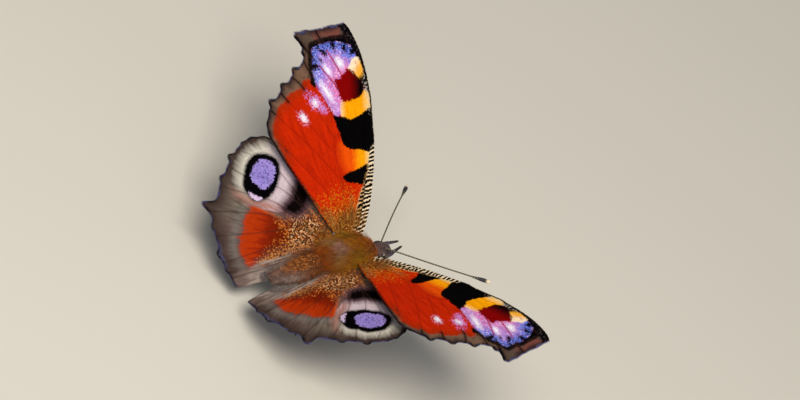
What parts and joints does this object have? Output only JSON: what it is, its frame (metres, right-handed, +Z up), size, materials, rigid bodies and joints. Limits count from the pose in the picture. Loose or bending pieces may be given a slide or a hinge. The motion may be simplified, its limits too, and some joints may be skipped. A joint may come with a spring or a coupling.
{
  "type": "peacock butterfly",
  "caption": "Life-size still model of a peacock butterfly standing on its legs with half-raised, scalloped wings that carry eyespots",
  "frame": {"origin": "on the ground, below the middle of the whole butterfly's box", "axes": "+X to the butterfly's left, -Y towards its head, +Z up"},
  "size_m": [0.056, 0.0358, 0.0221],
  "materials": {
    "thorax_fur": "long golden-brown hair",
    "abdomen_fur": "short dark brown hair with golden scales",
    "head_fur": "dark brown tufted hair",
    "eye": "dark brown glossy facets",
    "palp_fur": "close dark hair",
    "antenna_chitin": "dark ringed chitin with a pale club tip",
    "proboscis_chitin": "smooth dark brown chitin",
    "forewing_scales": "matt wing scales, brick red with black, yellow and violet-blue marks",
    "hindwing_scales": "matt wing scales, brown grey and red with a violet eyespot",
    "leg_chitin": "brown scaled chitin"
  },
  "bodies": {
    "root": {"thorax": "thorax_fur", "abdomen": "abdomen_fur", "head": "head_fur", "eye_left": "eye", "eye_right": "eye", "palp_left": "palp_fur", "palp_right": "palp_fur", "antenna_left": "antenna_chitin", "antenna_right": "antenna_chitin", "proboscis": "proboscis_chitin", "forewing_left": "forewing_scales", "forewing_right": "forewing_scales", "hindwing_left": "hindwing_scales", "hindwing_right": "hindwing_scales", "leg_fore_left": "leg_chitin", "leg_fore_right": "leg_chitin", "leg_mid_left": "leg_chitin", "leg_mid_right": "leg_chitin", "leg_hind_left": "leg_chitin", "leg_hind_right": "leg_chitin"}
  },
  "joints": []
}
